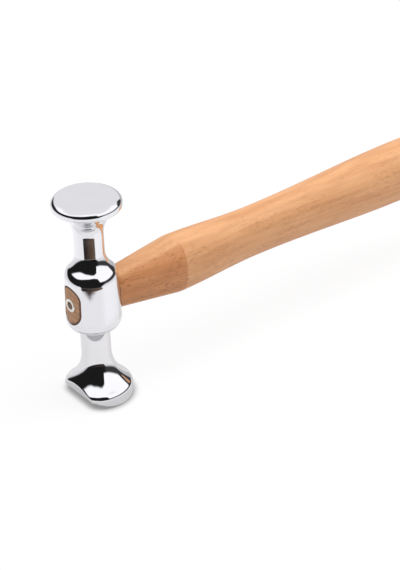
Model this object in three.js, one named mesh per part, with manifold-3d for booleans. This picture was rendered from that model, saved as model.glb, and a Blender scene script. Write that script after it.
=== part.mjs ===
// Panel hammer: a chromed steel head with a flat round face above and a crowned
// half-moon face below, on a shouldered oval wooden handle spread in the eye by a ring wedge.
// Lengths are in millimetres. +Z runs up the head, +X along the handle to the grip, and the
// origin is the centre of the flat round face.

import * as THREE from 'three';
import { mergeVertices } from 'three/addons/utils/BufferGeometryUtils.js';
import Module from 'manifold-3d';

const wasm = await Module();
wasm.setup();

// Head: heights stacked from the lowest line of the lower face up to the round face
const lowerRimHeight = 7.2;
const lowerFlareHeight = 22.5;
const lowerNeckLength = 14.8;
const barrelFootHeight = 7.8;
const eyeWallBelow = 0.4;
const eyeHeight = 24.2;
const eyeWallAbove = 2.1;
const barrelShoulderHeight = 12.0;
const upperNeckLength = 14.8;
const roundFlareHeight = 17.0;
const roundRimHeight = 6.4;

// Head: widths
const lowerFaceDiameter = 40.4;
const lowerNeckDiameter = 17.3;
const barrelFootDiameter = 32.2;
const barrelTopDiameter = 31.0;
const upperNeckDiameter = 17.2;
const roundFaceDiameter = 40.0;
const roundFaceEdgeRadius = 4.3;
const roundRimLowerEdge = 0.6;
const eyeWidth = 16.0;

// Half-moon face: the toe side is squarer than the round heel and is cut off flat
const toeReach = 17.5;
const toeCutDistance = 15.1;
const toeCutEdgeRadius = 0.8;
const crownRadius = 42.0;
const crownLineDistance = 5.0;
const lowerRimRoundBelow = 2.0;
const lowerRimRoundAbove = 1.4;

// Handle: distances from the head's axis, heights along Z and widths along Y
const neckStepHeight = 0.1;
const neckStepWidth = 1.2;
const shoulderDistance = 56.0;
const shoulderHeight = 35.5;
const shoulderWidth = 27.0;
const shoulderSoftness = 1.6;
const waistDistance = 114.0;
const waistHeight = 31.5;
const waistWidth = 23.4;
const gripDistance = 238.0;
const gripHeight = 39.5;
const gripWidth = 29.2;
const buttDistance = 300.0;
const buttHeight = 35.0;
const buttWidth = 27.0;
const buttRoundLength = 10.0;
const endGrainRecess = 0.2;

// Ring wedge: a tube driven into the end grain, sharp and ridged
const wedgeDiameter = 8.2;
const wedgeBore = 4.7;
const wedgeLength = 15.0;
const wedgeTaper = 0.5;
const wedgeTipLength = 2.4;
const wedgeTipWall = 0.35;
const wedgeRidgeDepth = 0.3;
const wedgeStandProud = 0.1;

// Gap kept between a piece and the one that it seats in, and what a cutter runs past a face
const seatGap = 0.3;
const cutOverrun = 5.0;

// Shares of the sizes that they follow
const shoulderFilletShare = 0.55;
const footFilletShare = 0.12;
const buttFlatShare = 0.55;
const neckRootShare = 0.5;
const softReachShare = 0.25;

// Powers that bend the flares, the half-moon outline and the oval sections
const lowerFlarePower = 2.4;
const roundFlarePower = 2.3;
const toeOutlinePower = 2.45;
const neckSectionPower = 2.5;
const gripSectionPower = 2.15;

// Counts of facets
const headSides = 64;
const flareSteps = 9;
const bendSteps = 5;
const edgeSteps = 7;
const rimSteps = 4;
const crownSteps = 20;
const eyeEndSteps = 12;
const handleSides = 40;
const taperSteps = 3;
const softSteps = 6;
const swellSteps = 7;
const buttSteps = 5;
const wedgeSides = 36;
const wedgeRidges = 3;

// Places worked out from the sizes above, before the model is lowered to its origin
const lowerFlareTop = lowerRimHeight + lowerFlareHeight;
const lowerNeckTop = lowerFlareTop + lowerNeckLength;
const barrelBottom = lowerNeckTop + barrelFootHeight;
const eyeBottom = barrelBottom + eyeWallBelow;
const eyeCentre = eyeBottom + eyeHeight / 2;
const barrelTop = eyeBottom + eyeHeight + eyeWallAbove;
const upperNeckBottom = barrelTop + barrelShoulderHeight;
const upperNeckTop = upperNeckBottom + upperNeckLength;
const roundFlareTop = upperNeckTop + roundFlareHeight;
const headHeight = roundFlareTop + roundRimHeight;
const barrelRadius = (barrelFootDiameter + barrelTopDiameter) / 4;
const endGrainDistance = barrelRadius - endGrainRecess;
const neckHeight = eyeHeight + 2 * neckStepHeight;
const neckWidth = eyeWidth + 2 * neckStepWidth;

const fullTurn = 2 * Math.PI;
const alongX = new THREE.Matrix4().makeBasis(
  new THREE.Vector3(0, 1, 0),
  new THREE.Vector3(0, 0, 1),
  new THREE.Vector3(1, 0, 0),
);

// Turns a closed geometry into a solid that can be cut and joined.
function toSolid(geometry) {
  const bare = geometry.index ? geometry.toNonIndexed() : geometry.clone();
  bare.deleteAttribute('normal');
  bare.deleteAttribute('uv');
  const merged = mergeVertices(bare);
  const mesh = new wasm.Mesh({
    numProp: 3,
    vertProperties: new Float32Array(merged.attributes.position.array),
    triVerts: new Uint32Array(merged.index.array),
  });
  return new wasm.Manifold(mesh);
}

// Turns a solid back into a geometry with one normal for each facet.
function toGeometry(solid) {
  const mesh = solid.getMesh();
  const geometry = new THREE.BufferGeometry();
  geometry.setAttribute('position', new THREE.BufferAttribute(mesh.vertProperties, mesh.numProp));
  geometry.setIndex(new THREE.BufferAttribute(mesh.triVerts, 1));
  const faceted = geometry.toNonIndexed();
  faceted.computeVertexNormals();
  return faceted;
}

// Skins a closed body over rings of points, with a fan over each end. The rings turn
// anticlockwise when seen from the last one.
function skinRings(rings) {
  const sides = rings[0].length;
  const points = rings.flat();
  const faces = [];
  for (let ring = 0; ring < rings.length - 1; ring += 1) {
    for (let side = 0; side < sides; side += 1) {
      const here = ring * sides + side;
      const beside = ring * sides + (side + 1) % sides;
      faces.push(here, beside, beside + sides);
      faces.push(here, beside + sides, here + sides);
    }
  }
  const lastRing = (rings.length - 1) * sides;
  for (const [start, ring] of [[0, rings[0]], [lastRing, rings[rings.length - 1]]]) {
    const centre = new THREE.Vector3();
    ring.forEach((point) => centre.add(point));
    points.push(centre.divideScalar(sides));
    for (let side = 0; side < sides; side += 1) {
      const here = start + side;
      const beside = start + (side + 1) % sides;
      if (start === 0) faces.push(points.length - 1, beside, here);
      else faces.push(points.length - 1, here, beside);
    }
  }
  const geometry = new THREE.BufferGeometry().setFromPoints(points);
  geometry.setIndex(faces);
  return geometry;
}

// An S-shaped step between two radii: a fillet at the neck and a round at the barrel, which
// meet in a tangent. The points run from the neck to the barrel.
function stepProfile(neckRadius, neckLevel, outerRadius, outerLevel, filletShare) {
  const step = outerRadius - neckRadius;
  const height = Math.abs(outerLevel - neckLevel);
  const direction = Math.sign(outerLevel - neckLevel);
  const radii = (height * height + step * step) / (2 * step);
  const swing = 2 * Math.atan2(step, height);
  const fillet = radii * filletShare;
  const round = radii - fillet;
  const points = [];
  for (let count = 0; count <= bendSteps; count += 1) {
    const angle = (swing * count) / bendSteps;
    points.push([
      neckRadius + fillet * (1 - Math.cos(angle)),
      neckLevel + direction * fillet * Math.sin(angle),
    ]);
  }
  for (let count = bendSteps - 1; count >= 0; count -= 1) {
    const angle = (swing * count) / bendSteps;
    points.push([
      outerRadius - round * (1 - Math.cos(angle)),
      outerLevel - direction * round * Math.sin(angle),
    ]);
  }
  return points;
}

// Distance from the head's axis to the lower face's outline before the toe is cut off: a
// circle on the heel side, squarer and shorter on the toe side.
function lowerFaceReach(angle) {
  const heelReach = lowerFaceDiameter / 2;
  const towardsToe = Math.max(0, -Math.cos(angle));
  const sideways = Math.abs(Math.sin(angle));
  if (towardsToe === 0) return heelReach;
  const sum = (towardsToe / toeReach) ** toeOutlinePower + (sideways / heelReach) ** toeOutlinePower;
  return sum ** (-1 / toeOutlinePower);
}

// A level ring round the head's axis, whose radius may change with direction.
function headRing(level, reach) {
  const ring = [];
  for (let side = 0; side < headSides; side += 1) {
    const angle = (fullTurn * side) / headSides;
    const radius = reach(angle);
    ring.push(new THREE.Vector3(radius * Math.cos(angle), radius * Math.sin(angle), level));
  }
  return ring;
}

// The barrel with its foot and shoulder, as points of radius and level from below upwards.
function barrelProfile() {
  const foot = stepProfile(
    lowerNeckDiameter / 2, lowerNeckTop, barrelFootDiameter / 2, barrelBottom, footFilletShare,
  );
  const shoulder = stepProfile(
    upperNeckDiameter / 2, upperNeckBottom, barrelTopDiameter / 2, barrelTop, shoulderFilletShare,
  );
  return [...foot, ...shoulder.reverse()];
}

// The round face's flare, rim and rounded edge, as points from the neck upwards.
function roundFaceProfile() {
  const neckRadius = upperNeckDiameter / 2;
  const faceRadius = roundFaceDiameter / 2;
  const points = [];
  for (let count = 0; count < flareSteps; count += 1) {
    const share = count / flareSteps;
    const radius = neckRadius
      + (faceRadius - roundRimLowerEdge - neckRadius) * share ** roundFlarePower;
    points.push([radius, upperNeckTop + roundFlareHeight * share]);
  }
  points.push([faceRadius - roundRimLowerEdge, roundFlareTop]);
  points.push([faceRadius, roundFlareTop + roundRimLowerEdge]);
  for (let count = 0; count <= edgeSteps; count += 1) {
    const angle = (fullTurn / 4) * (count / edgeSteps);
    points.push([
      faceRadius - roundFaceEdgeRadius * (1 - Math.cos(angle)),
      headHeight - roundFaceEdgeRadius * (1 - Math.sin(angle)),
    ]);
  }
  return points;
}

// The outside of the head before the lower face, the toe and the eye are cut.
function headBody() {
  const neckRadius = lowerNeckDiameter / 2;
  const roundShare = lowerRimRoundAbove / lowerFlareHeight;
  const flareReach = (angle, share) => neckRadius
    + (lowerFaceReach(angle) - neckRadius) * (1 - share) ** lowerFlarePower;
  const rings = [headRing(-cutOverrun, lowerFaceReach)];
  for (let count = 0; count <= rimSteps; count += 1) {
    const along = count / rimSteps;
    const level = lowerRimHeight - lowerRimRoundBelow * (1 - along) ** 2
      + lowerRimRoundAbove * along ** 2;
    rings.push(headRing(level, (angle) => {
      const wall = lowerFaceReach(angle);
      return wall + (flareReach(angle, roundShare) - wall) * along ** 2;
    }));
  }
  for (let count = 1; count <= flareSteps; count += 1) {
    const share = roundShare + (1 - roundShare) * (count / flareSteps);
    rings.push(headRing(
      lowerRimHeight + lowerFlareHeight * share,
      (angle) => flareReach(angle, share),
    ));
  }
  for (const [radius, level] of [...barrelProfile(), ...roundFaceProfile()]) {
    rings.push(headRing(level, () => radius));
  }
  return toSolid(skinRings(rings));
}

// What is kept of the lower end: above the crowned face and behind the flat toe cut. The cut
// ends half way up the lower neck, clear of the barrel.
function lowerFaceEnvelope() {
  const depth = lowerFaceDiameter + 2 * cutOverrun;
  const heel = lowerFaceDiameter / 2 + cutOverrun;
  const toe = -barrelFootDiameter / 2 - cutOverrun;
  const stepLevel = lowerFlareTop + lowerNeckLength / 2;
  const crownLevel = (across) => crownRadius
    - Math.sqrt(Math.max(0, crownRadius ** 2 - (across - crownLineDistance) ** 2));
  const edgeStart = -toeCutDistance + toeCutEdgeRadius;
  const shape = new THREE.Shape();
  shape.moveTo(-toeCutDistance, stepLevel);
  shape.lineTo(-toeCutDistance, crownLevel(edgeStart) + toeCutEdgeRadius);
  for (let count = 0; count <= crownSteps; count += 1) {
    const across = edgeStart + (heel - edgeStart) * (count / crownSteps);
    shape.lineTo(across, crownLevel(across));
  }
  shape.lineTo(heel, headHeight + cutOverrun);
  shape.lineTo(toe, headHeight + cutOverrun);
  shape.lineTo(toe, stepLevel);
  const geometry = new THREE.ExtrudeGeometry(shape, { depth, bevelEnabled: false });
  geometry.translate(0, 0, -depth / 2);
  geometry.rotateX(fullTurn / 4);
  return toSolid(geometry);
}

// A bar of oval section along X at the height of the eye: half circles above and below
// straight cheeks.
function eyeBar(width, height, from, to) {
  const radius = width / 2;
  const arcCentre = height / 2 - radius;
  const shape = new THREE.Shape();
  shape.absarc(0, arcCentre, radius, 0, fullTurn / 2, false);
  shape.absarc(0, -arcCentre, radius, fullTurn / 2, fullTurn, false);
  const geometry = new THREE.ExtrudeGeometry(shape, {
    depth: to - from, bevelEnabled: false, curveSegments: eyeEndSteps,
  });
  geometry.translate(0, eyeCentre, from);
  geometry.applyMatrix4(alongX);
  return toSolid(geometry);
}

// A turned body along X at the height of the eye, from points of radius and distance.
function turnAlongX(points) {
  const profile = points.map(([radius, distance]) => new THREE.Vector2(radius, distance));
  const geometry = new THREE.LatheGeometry(profile, wedgeSides);
  geometry.rotateZ(-fullTurn / 4);
  geometry.translate(0, 0, eyeCentre);
  return geometry;
}

function makeHead() {
  const reach = Math.max(barrelFootDiameter, barrelTopDiameter) / 2 + cutOverrun;
  return toGeometry(
    headBody()
      .intersect(lowerFaceEnvelope())
      .subtract(eyeBar(eyeWidth, eyeHeight, -reach, reach)),
  );
}

// Size between two stations, level at both ends.
function ease(startSize, endSize, share) {
  return startSize + ((endSize - startSize) * (1 - Math.cos(Math.PI * share))) / 2;
}

// The lesser of two sizes, with the corner between them rounded off by the softness.
function softLesser(first, second, softness) {
  const share = Math.min(1, Math.max(0, (1 + (second - first) / softness) / 2));
  return second + (first - second) * share - softness * share * (1 - share);
}

// Height or width of the handle at a distance from the head's axis: a straight taper up to
// the shoulder, then a waist, a swelling grip and a narrower butt.
function handleSize(distance, atNeck, atShoulder, atWaist, atGrip, atButt) {
  const taperShare = (distance - barrelRadius) / (shoulderDistance - barrelRadius);
  const taper = atNeck + (atShoulder - atNeck) * taperShare;
  let swell = atShoulder;
  if (distance > gripDistance) {
    swell = ease(atGrip, atButt, (distance - gripDistance) / (buttDistance - gripDistance));
  } else if (distance > waistDistance) {
    swell = ease(atWaist, atGrip, (distance - waistDistance) / (gripDistance - waistDistance));
  } else if (distance > shoulderDistance) {
    const share = (distance - shoulderDistance) / (waistDistance - shoulderDistance);
    swell = ease(atShoulder, atWaist, share);
  }
  return softLesser(taper, swell, shoulderSoftness);
}

// One oval section of the handle, drawn in by a share near the rounded butt.
function handleRing(distance, share) {
  const height = handleSize(
    distance, neckHeight, shoulderHeight, waistHeight, gripHeight, buttHeight,
  );
  const width = handleSize(distance, neckWidth, shoulderWidth, waistWidth, gripWidth, buttWidth);
  const blend = Math.min(1, Math.max(0, distance / waistDistance));
  const power = neckSectionPower + (gripSectionPower - neckSectionPower) * blend;
  const ring = [];
  for (let side = 0; side < handleSides; side += 1) {
    const angle = (fullTurn * side) / handleSides;
    const cosine = Math.cos(angle);
    const sine = Math.sin(angle);
    const across = Math.sign(cosine) * Math.abs(cosine) ** (2 / power);
    const upwards = Math.sign(sine) * Math.abs(sine) ** (2 / power);
    ring.push(new THREE.Vector3(
      distance,
      (width / 2) * share * across,
      eyeCentre + (height / 2) * share * upwards,
    ));
  }
  return ring;
}

// Evenly spaced distances from one place up to, but not with, the next.
function spaced(from, to, steps) {
  return Array.from({ length: steps }, (_, count) => from + ((to - from) * count) / steps);
}

function handleBody() {
  const root = barrelRadius * neckRootShare;
  const softReach = (shoulderDistance - barrelRadius) * softReachShare;
  const roundStart = buttDistance - buttRoundLength;
  const distances = [
    ...spaced(root, shoulderDistance - softReach, taperSteps),
    ...spaced(shoulderDistance - softReach, shoulderDistance + softReach, softSteps),
    ...spaced(shoulderDistance + softReach, waistDistance, swellSteps),
    ...spaced(waistDistance, gripDistance, swellSteps),
    ...spaced(gripDistance, roundStart, swellSteps),
  ];
  const rings = distances.map((distance) => handleRing(distance, 1));
  for (let count = 0; count <= buttSteps; count += 1) {
    const angle = (fullTurn / 4) * (count / buttSteps);
    rings.push(handleRing(
      roundStart + buttRoundLength * Math.sin(angle),
      buttFlatShare + (1 - buttFlatShare) * Math.cos(angle),
    ));
  }
  return toSolid(skinRings(rings));
}

// The barrel as a turned body, grown by a gap all round or drawn in by a negative one.
function barrelBlank(gap) {
  const profile = barrelProfile();
  const first = profile[0];
  const last = profile[profile.length - 1];
  const points = [
    new THREE.Vector2(0, first[1] - seatGap),
    new THREE.Vector2(first[0] + gap, first[1] - seatGap),
    ...profile.map(([radius, level]) => new THREE.Vector2(radius + gap, level)),
    new THREE.Vector2(last[0] + gap, last[1] + seatGap),
    new THREE.Vector2(0, last[1] + seatGap),
  ];
  const geometry = new THREE.LatheGeometry(points, headSides);
  geometry.rotateX(fullTurn / 4);
  return toSolid(geometry);
}

// The ring-shaped slot that the wedge has opened in the end grain.
function wedgeSlot() {
  const outer = wedgeDiameter / 2 + seatGap;
  const inner = wedgeBore / 2 - seatGap;
  const mouth = -endGrainDistance - cutOverrun;
  const floor = -endGrainDistance - wedgeStandProud + wedgeLength + seatGap;
  return toSolid(turnAlongX([
    [inner, mouth], [outer, mouth], [outer, floor], [inner, floor], [inner, mouth],
  ]));
}

// The neck is coped to the barrel with a gap. The tenon fills the eye, and its end is dressed
// back to the barrel's curve.
function makeHandle() {
  const reach = barrelRadius + cutOverrun;
  const tenonWidth = eyeWidth - 2 * seatGap;
  const tenonHeight = eyeHeight - 2 * seatGap;
  const toeHalf = eyeBar(tenonWidth, tenonHeight, -reach, 0).intersect(barrelBlank(-endGrainRecess));
  const heelHalf = eyeBar(tenonWidth, tenonHeight, -cutOverrun, reach);
  return toGeometry(
    handleBody().subtract(barrelBlank(seatGap)).add(heelHalf).add(toeHalf).subtract(wedgeSlot()),
  );
}

// The wedge's section, from the outer edge of its face along the ridges to the sharp tip and
// back through the bore. Each ridge leans towards the face, so that the wood holds it.
function makeWedge() {
  const face = -endGrainDistance - wedgeStandProud;
  const tipStart = wedgeLength - wedgeTipLength;
  const bore = wedgeBore / 2;
  const outerAt = (along) => wedgeDiameter / 2 - (wedgeTaper * along) / wedgeLength;
  const points = [[outerAt(0), face]];
  for (let ridge = 0; ridge < wedgeRidges; ridge += 1) {
    const start = (tipStart * (ridge + 1)) / (wedgeRidges + 1);
    points.push([outerAt(start), face + start]);
    points.push([outerAt(start) - wedgeRidgeDepth, face + start + wedgeRidgeDepth]);
  }
  points.push([outerAt(tipStart), face + tipStart]);
  points.push([bore + wedgeTipWall, face + wedgeLength]);
  points.push([bore, face + wedgeLength]);
  points.push([bore, face]);
  points.push([outerAt(0), face]);
  return toGeometry(toSolid(turnAlongX(points)));
}

const chrome = new THREE.MeshStandardMaterial({ color: 0xd8d8de, metalness: 1, roughness: 0.12 });
const beech = new THREE.MeshStandardMaterial({ color: 0xd9a473, metalness: 0, roughness: 0.55 });
const steel = new THREE.MeshStandardMaterial({ color: 0xc4c6ca, metalness: 1, roughness: 0.3 });

function piece(name, geometry, material) {
  const mesh = new THREE.Mesh(geometry, material);
  mesh.name = name;
  return mesh;
}

const hammer = new THREE.Group();
hammer.add(piece('hammer_head', makeHead(), chrome));
hammer.add(piece('handle', makeHandle(), beech));
hammer.add(piece('ring_wedge', makeWedge(), steel));
hammer.position.z = -headHeight;

export default hammer;
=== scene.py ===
"""Looks of the panel hammer: chromed head, beech handle and steel ring wedge.

Shapes are worked out in millimetres. "Standing" levels count up from the lowest line of
the lower face, and are lowered by the head's height when a mesh is made, so that the
origin is the centre of the round face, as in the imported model. Materials, the stage and
the lamps are in metres where no comment says otherwise, and noise scales count per metre.
"""

import math

import bpy
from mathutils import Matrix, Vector


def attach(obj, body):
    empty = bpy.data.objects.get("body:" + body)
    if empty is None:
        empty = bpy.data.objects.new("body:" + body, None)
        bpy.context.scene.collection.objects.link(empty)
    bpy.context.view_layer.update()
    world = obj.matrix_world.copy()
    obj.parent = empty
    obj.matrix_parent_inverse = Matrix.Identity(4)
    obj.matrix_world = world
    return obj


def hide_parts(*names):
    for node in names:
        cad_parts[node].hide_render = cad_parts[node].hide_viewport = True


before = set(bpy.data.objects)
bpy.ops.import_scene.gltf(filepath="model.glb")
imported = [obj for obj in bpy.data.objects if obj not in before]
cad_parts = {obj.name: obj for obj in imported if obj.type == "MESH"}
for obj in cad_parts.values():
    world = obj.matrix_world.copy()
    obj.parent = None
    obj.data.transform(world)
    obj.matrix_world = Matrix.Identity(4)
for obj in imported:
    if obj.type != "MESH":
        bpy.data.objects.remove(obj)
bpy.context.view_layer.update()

MM = 0.001
FULL_TURN = 2 * math.pi
QUARTER_TURN = math.pi / 2
SHARP_EDGE = math.radians(38.0)

# Head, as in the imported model
LOWER_RIM_HEIGHT = 7.2
LOWER_FLARE_HEIGHT = 22.5
LOWER_NECK_LENGTH = 14.8
BARREL_FOOT_HEIGHT = 7.8
EYE_WALL_BELOW = 0.4
EYE_HEIGHT = 24.2
EYE_WALL_ABOVE = 2.1
BARREL_SHOULDER_HEIGHT = 12.0
UPPER_NECK_LENGTH = 14.8
ROUND_FLARE_HEIGHT = 17.0
ROUND_RIM_HEIGHT = 6.4
LOWER_FACE_RADIUS = 20.2
LOWER_NECK_RADIUS = 8.65
BARREL_FOOT_RADIUS = 16.1
BARREL_TOP_RADIUS = 15.5
UPPER_NECK_RADIUS = 8.6
ROUND_FACE_RADIUS = 20.0
ROUND_RIM_LOWER_EDGE = 0.6
EYE_WIDTH = 16.0
TOE_REACH = 17.5
TOE_CUT = 15.1
CROWN_RADIUS = 42.0
CROWN_LINE = 5.0
LOWER_RIM_ROUND_BELOW = 2.0
LOWER_RIM_ROUND_ABOVE = 1.4
FOOT_FILLET_SHARE = 0.12
LOWER_FLARE_POWER = 2.4
ROUND_FLARE_POWER = 2.3
TOE_OUTLINE_POWER = 2.45

# Head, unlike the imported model: finer roundings, a disc edge of two bends, a fuller shoulder
CROWN_EDGE = 0.7
ROUND_EDGE_SIDE_RADIUS = 2.7
ROUND_EDGE_TOP_RADIUS = 6.0
ROUND_EDGE_CHANGE = math.radians(41.0)
TOE_CORNER_SOFTNESS = 0.9
HILL_EDGE = 0.8
EYE_LIP = 0.35
RIM_CORNER = 0.7
SHOULDER_DROP = 0.6
SHOULDER_HOLLOW_RADIUS = 15.5
SHOULDER_TURN = math.radians(44.6)
SHOULDER_START_TURN = math.radians(8.0)
SHOULDER_START_RADIUS = 3.0

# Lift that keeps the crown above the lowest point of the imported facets
CROWN_LIFT = 0.003

# Handle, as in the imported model
NECK_STEP_HEIGHT = 0.1
NECK_STEP_WIDTH = 1.2
SHOULDER_DISTANCE = 56.0
SHOULDER_HEIGHT = 35.5
SHOULDER_WIDTH = 27.0
WAIST_DISTANCE = 114.0
WAIST_HEIGHT = 31.5
WAIST_WIDTH = 23.4
GRIP_DISTANCE = 238.0
GRIP_HEIGHT = 39.5
GRIP_WIDTH = 29.2
BUTT_DISTANCE = 300.0
BUTT_HEIGHT = 35.0
BUTT_WIDTH = 27.0
BUTT_ROUND = 10.0
BUTT_FLAT_SHARE = 0.55
NECK_POWER = 2.5
GRIP_POWER = 2.15
END_GRAIN_RECESS = 0.2
SLOT_FLOOR_GAP = 0.3

# Handle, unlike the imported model: a crisper shoulder, closer seats and small rounded edges
SHOULDER_SOFTNESS = 0.6
TENON_GAP = 0.12
COPE_GAP = 0.12
COPE_LENGTH = 2.0
NECK_EDGE = 0.25
NECK_EDGE_SHARE = 0.2
TENON_EDGE = 0.25

# Core of wood inside the ring: shares of its radius, and how deep it lies there
CORE_TOP = 0.12
CORE_SHARES = ((1.0, 0.35), (0.9, 0.2), (0.5, CORE_TOP))

# Ring wedge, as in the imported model
WEDGE_RADIUS = 4.1
WEDGE_BORE_RADIUS = 2.35
WEDGE_LENGTH = 15.0
WEDGE_TAPER = 0.5
WEDGE_TIP_LENGTH = 2.4
WEDGE_TIP_WALL = 0.35
WEDGE_RIDGE_DEPTH = 0.3
WEDGE_RIDGES = 3
WEDGE_PROUD = 0.1

# Ring wedge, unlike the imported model: rounded edges and a closer slot
WEDGE_EDGE = 0.18
SLOT_GAP = 0.06

# Levels and radii worked out from the sizes above
LOWER_FLARE_TOP = LOWER_RIM_HEIGHT + LOWER_FLARE_HEIGHT
LOWER_NECK_TOP = LOWER_FLARE_TOP + LOWER_NECK_LENGTH
BARREL_BOTTOM = LOWER_NECK_TOP + BARREL_FOOT_HEIGHT
EYE_BOTTOM = BARREL_BOTTOM + EYE_WALL_BELOW
EYE_CENTRE = EYE_BOTTOM + EYE_HEIGHT / 2
BARREL_TOP = EYE_BOTTOM + EYE_HEIGHT + EYE_WALL_ABOVE
UPPER_NECK_BOTTOM = BARREL_TOP + BARREL_SHOULDER_HEIGHT
UPPER_NECK_TOP = UPPER_NECK_BOTTOM + UPPER_NECK_LENGTH
ROUND_FLARE_TOP = UPPER_NECK_TOP + ROUND_FLARE_HEIGHT
HEAD_HEIGHT = ROUND_FLARE_TOP + ROUND_RIM_HEIGHT
BARREL_RADIUS = (BARREL_FOOT_RADIUS + BARREL_TOP_RADIUS) / 2
FOOT_STEP = BARREL_FOOT_RADIUS - LOWER_NECK_RADIUS
FOOT_RADII = (BARREL_FOOT_HEIGHT**2 + FOOT_STEP**2) / (2 * FOOT_STEP)
FOOT_ROUNDING = FOOT_RADII * (1 - FOOT_FILLET_SHARE)
NECK_HEIGHT = EYE_HEIGHT + 2 * NECK_STEP_HEIGHT
NECK_WIDTH = EYE_WIDTH + 2 * NECK_STEP_WIDTH

# Camera: angles in degrees, and a level on the head's axis with the place that it has in a
# picture of 400 by 570. The distance is from there, along the view.
CAMERA_AZIMUTH = -36.88
CAMERA_ELEVATION = 31.22
CAMERA_ROLL = -1.86
CAMERA_DISTANCE = 1000.0
CAMERA_FOCAL_PIXELS = 1758.05
CAMERA_AIM_LEVEL = 60.0
CAMERA_AIM_PIXEL = (93.22, 303.34)
CAMERA_CLIP = (0.01, 50.0)
PICTURE = (400, 570)
SENSOR_MM = 36.0

# Counts of the head's columns of points, from the heel round the toe, and of its rows
HEEL_COLUMNS = 55
CORNER_COLUMNS = 10
TOE_COLUMNS = 30
COLUMNS = 2 * HEEL_COLUMNS + 2 * CORNER_COLUMNS + TOE_COLUMNS
EYE_COLUMNS = 17
CROWN_ROWS = 16
CROWN_EDGE_ROWS = 5
WALL_ROWS = 6
HILL_ROWS = 4
FLARE_ROWS = 46
LOWER_NECK_ROWS = 12
FOOT_ROWS = 16
SHOULDER_ROWS = 22
SHOULDER_START_ROWS = 4
UPPER_NECK_ROWS = 9
ROUND_FLARE_ROWS = 36
RIM_CORNER_ROWS = 6
ROUND_EDGE_ROWS = 24
FACE_ROWS = 10
PATCH_ROWS = 6
LIP_ROWS = 5
EYE_WALL_ROWS = 6
HALVINGS = 40
CORNER_SPREAD = math.radians(5.0)
FLARE_ROW_POWER = 1.5
LEAST_TOE_COSINE = 0.2

# The patch of the barrel round each mouth of the eye
EYE_PATCH_BELOW = 1.9
EYE_PATCH_ABOVE = 1.3
EYE_PATCH_CLEARANCE = 0.2
EYE_PATCH_ROWS = 26

# Counts of the handle's and the wedge's points
HANDLE_SIDES = 96
BUTT_ROWS = 14
STATION_SPACING = 1.8
TENON_ROW_SHARES = (0.85, 0.5, 0.0, -0.5, -0.85)
TENON_EDGE_ROWS = 2
END_GRAIN_ROWS = 8
WEDGE_SIDES = 72
WEDGE_EDGE_ROWS = 4


def standing(x, y, level):
    """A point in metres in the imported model's frame, from millimetres and a standing level."""
    return (x * MM, y * MM, (level - HEAD_HEIGHT) * MM)


def round_point(radius, angle, level):
    """A point at a radius and in a direction from the head's axis."""
    return standing(radius * math.cos(angle), radius * math.sin(angle), level)


def shares(rows, first=1):
    """How far along a run each of its rows is, up to 1 at the last."""
    return [row / rows for row in range(first, rows + 1)]


def plain_mesh(name, points, faces):
    mesh = bpy.data.meshes.new(name)
    mesh.from_pydata(points, [], faces)
    mesh.update()
    item = bpy.data.objects.new(name, mesh)
    bpy.context.scene.collection.objects.link(item)
    return item


class Skin:
    """The points and faces of a closed mesh, gathered ring by ring."""

    def __init__(self):
        self.points = []
        self.faces = []

    def ring(self, points):
        """Adds points and gives back their numbers."""
        start = len(self.points)
        self.points.extend(points)
        return list(range(start, len(self.points)))

    def strips(self, rings):
        """Quads between each closed ring of point numbers and the next."""
        for ring, other in zip(rings, rings[1:]):
            count = len(ring)
            for here in range(count):
                beside = (here + 1) % count
                self.faces.append((ring[here], ring[beside], other[beside], other[here]))

    def fan(self, ring, centre):
        """Triangles from a closed ring of point numbers to one new point."""
        self.points.append(centre)
        middle = len(self.points) - 1
        count = len(ring)
        for here in range(count):
            self.faces.append((ring[here], ring[(here + 1) % count], middle))

    def piece(self, name, sharp_from=math.pi):
        """The mesh as a smooth object with its faces turned outwards."""
        piece = plain_mesh(name, self.points, self.faces)
        mesh = piece.data
        bpy.context.view_layer.objects.active = piece
        bpy.ops.object.select_all(action="DESELECT")
        piece.select_set(True)
        bpy.ops.object.mode_set(mode="EDIT")
        bpy.ops.mesh.select_all(action="SELECT")
        bpy.ops.mesh.normals_make_consistent(inside=False)
        bpy.ops.object.mode_set(mode="OBJECT")
        for polygon in mesh.polygons:
            polygon.use_smooth = True
        mesh.set_sharp_from_angle(angle=sharp_from)
        return piece


def soft_lesser(first, second, softness):
    """The lesser of two sizes, with the corner between them rounded off."""
    share = min(1.0, max(0.0, (1 + (second - first) / softness) / 2))
    return second + (first - second) * share - softness * share * (1 - share)


def bezier(start, corner, end, share):
    """A point on a bend that leaves and arrives along the lines to a corner."""
    return tuple(
        a * (1 - share) ** 2 + 2 * b * share * (1 - share) + c * share**2
        for a, b, c in zip(start, corner, end)
    )


def quadratic_root(a, b, c):
    return (-b + math.sqrt(b * b - 4 * a * c)) / (2 * a)


# Lower face


def lower_face_reach(angle):
    """Distance from the axis to the lower face's outline, before the toe is cut off."""
    towards_toe = max(0.0, -math.cos(angle))
    if towards_toe == 0:
        return LOWER_FACE_RADIUS
    total = (towards_toe / TOE_REACH) ** TOE_OUTLINE_POWER
    total += (abs(math.sin(angle)) / LOWER_FACE_RADIUS) ** TOE_OUTLINE_POWER
    return total ** (-1 / TOE_OUTLINE_POWER)


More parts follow.
